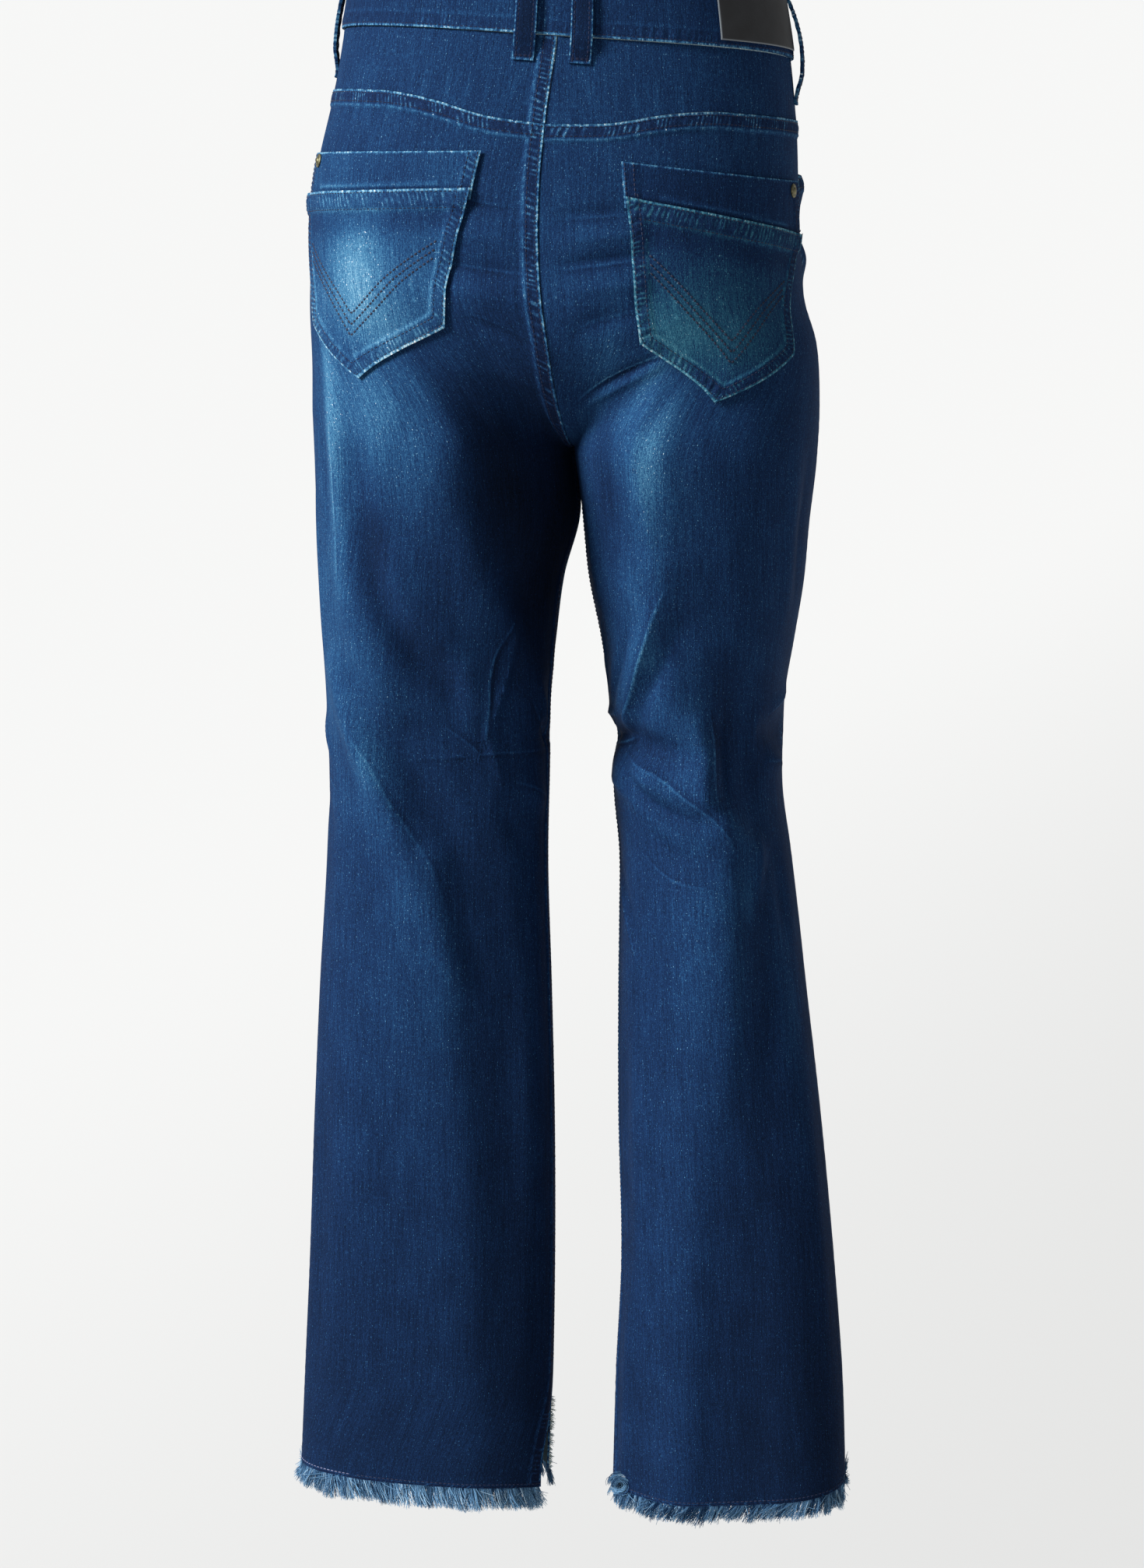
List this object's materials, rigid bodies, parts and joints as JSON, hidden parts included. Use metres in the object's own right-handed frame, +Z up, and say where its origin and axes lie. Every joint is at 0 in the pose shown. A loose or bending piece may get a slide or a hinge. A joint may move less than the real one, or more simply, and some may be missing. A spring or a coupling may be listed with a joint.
{
  "type": "straight-leg jeans",
  "caption": "Straight-leg jeans in worn form with nobody in them: yoked back, back patch pockets, belt loops, bare leather patch, front fly, raw frayed hems.",
  "frame": {"origin": "centre of the waist opening, level with the waistband's top edge at the back, where the waist is held", "axes": "+X towards the wearer's left, +Y towards the back of the jeans, +Z up"},
  "size_m": [0.3859, 0.2548, 1.066],
  "materials": {
    "denim": "washed indigo twill, matt",
    "denim_band": "dark indigo twill, matt",
    "denim_pocket": "faded indigo twill, matt",
    "denim_fringe": "loose pale blue cotton threads",
    "leather": "smooth, dark grey, matt",
    "tape": "woven zip tape",
    "metal": "antiqued, satin"
  },
  "bodies": {
    "root": {"back_leg_left": "denim", "back_leg_right": "denim", "back_pocket_left": "denim_pocket", "back_pocket_right": "denim_pocket", "back_pocket_strip_left": "denim_pocket", "back_pocket_strip_right": "denim_pocket", "belt_loop_back_left": "denim_band", "belt_loop_back_right": "denim_band", "belt_loop_front_left": "denim_band", "belt_loop_front_right": "denim_band", "belt_loop_side_left": "denim_band", "belt_loop_side_right": "denim_band", "fly": "denim", "front_leg_left": "denim", "front_leg_right": "denim", "hem_fringe_back_left": "denim_fringe", "hem_fringe_back_right": "denim_fringe", "hem_fringe_front_left": "denim_fringe", "hem_fringe_front_right": "denim_fringe", "leather_patch": "leather", "pocket_facing_left": "denim", "pocket_facing_right": "denim", "pocket_rivet_left": "metal", "pocket_rivet_right": "metal", "waist_button": "metal", "waistband": "denim_band", "yoke_left": "denim", "yoke_right": "denim", "zip": "tape"}
  },
  "joints": []
}
